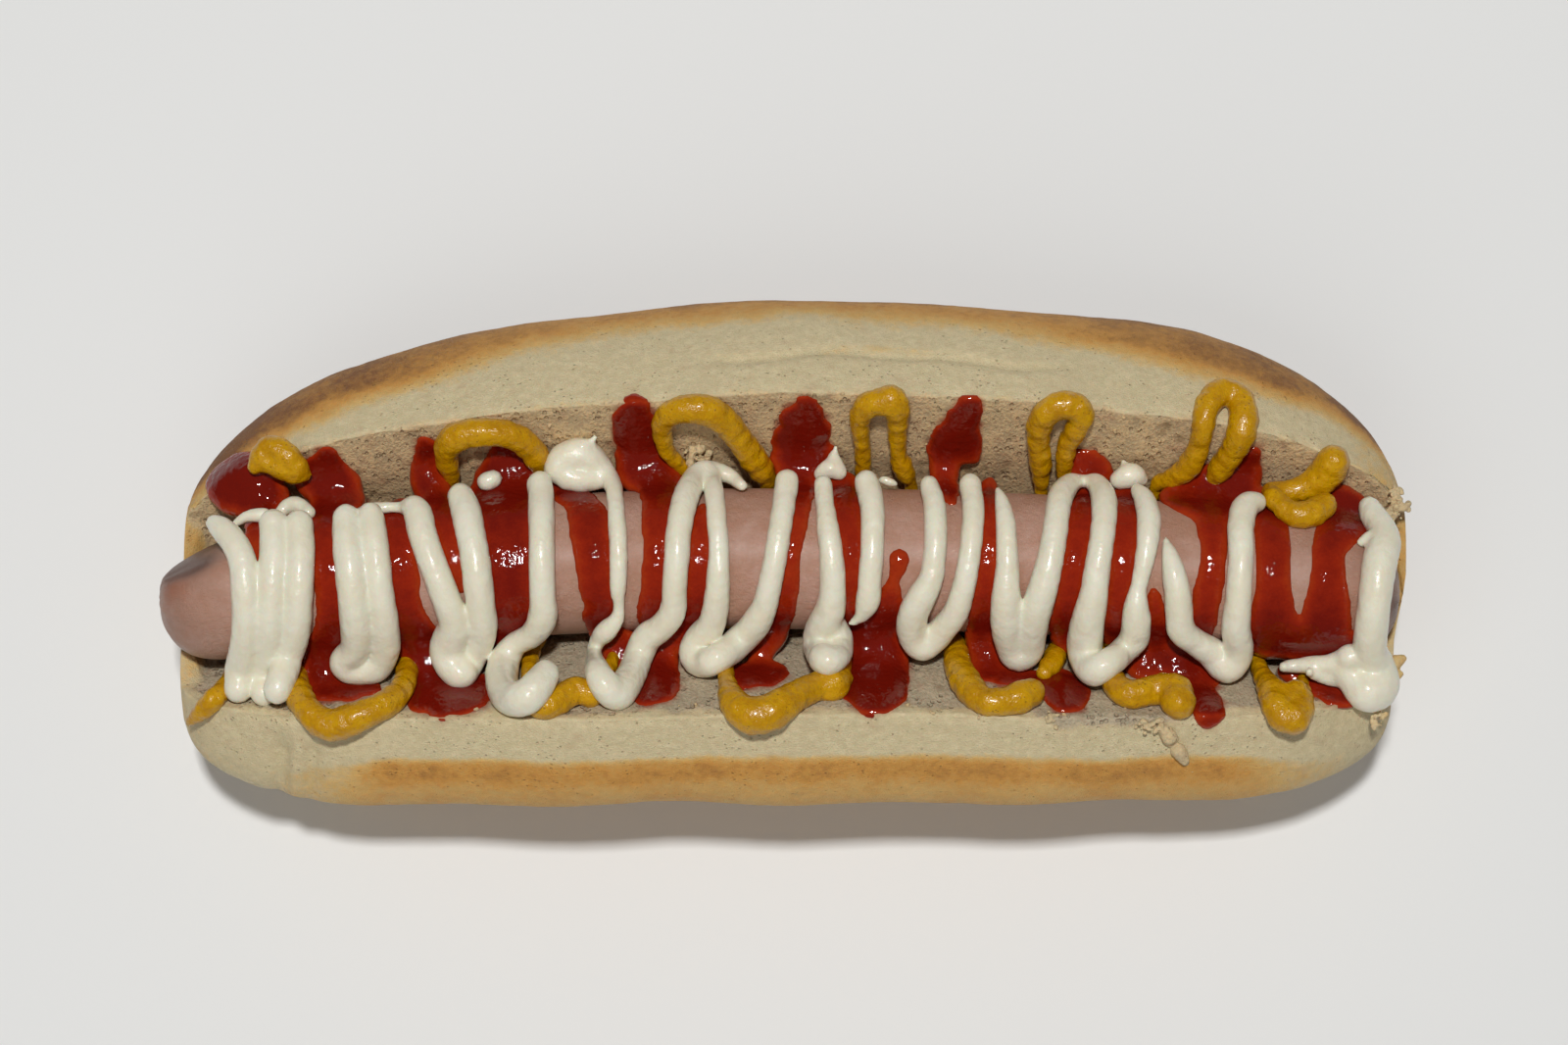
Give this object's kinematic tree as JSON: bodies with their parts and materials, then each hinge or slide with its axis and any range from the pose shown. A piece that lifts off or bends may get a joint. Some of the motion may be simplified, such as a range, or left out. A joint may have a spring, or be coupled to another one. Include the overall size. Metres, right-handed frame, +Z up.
{
  "type": "loaded hot dog",
  "caption": "Long soft side-cut bun opened around a cooked sausage, with squeezed zigzags of mustard, ketchup and mayonnaise.",
  "frame": {"origin": "on the table, in the flat underside of the bun below its middle", "axes": "+X along the sausage, +Z up, base half of the bun towards -Y and crown half towards +Y"},
  "size_m": [0.1842, 0.0765, 0.0515],
  "materials": {
    "bun": "soft baked crust and crumb",
    "sausage": "moist cooked skin",
    "mustard": "thick wet sauce",
    "ketchup": "wet sauce",
    "mayonnaise": "thick glossy sauce"
  },
  "bodies": {
    "root": {"bun": "bun", "sausage": "sausage", "mustard": "mustard", "ketchup_1": "ketchup", "ketchup_2": "ketchup", "ketchup_3": "ketchup", "ketchup_4": "ketchup", "ketchup_5": "ketchup", "ketchup_6": "ketchup", "ketchup_7": "ketchup", "ketchup_8": "ketchup", "ketchup_9": "ketchup", "mayonnaise_left": "mayonnaise", "mayonnaise_main": "mayonnaise", "mayonnaise_spur": "mayonnaise", "mayonnaise_right": "mayonnaise"}
  },
  "joints": []
}
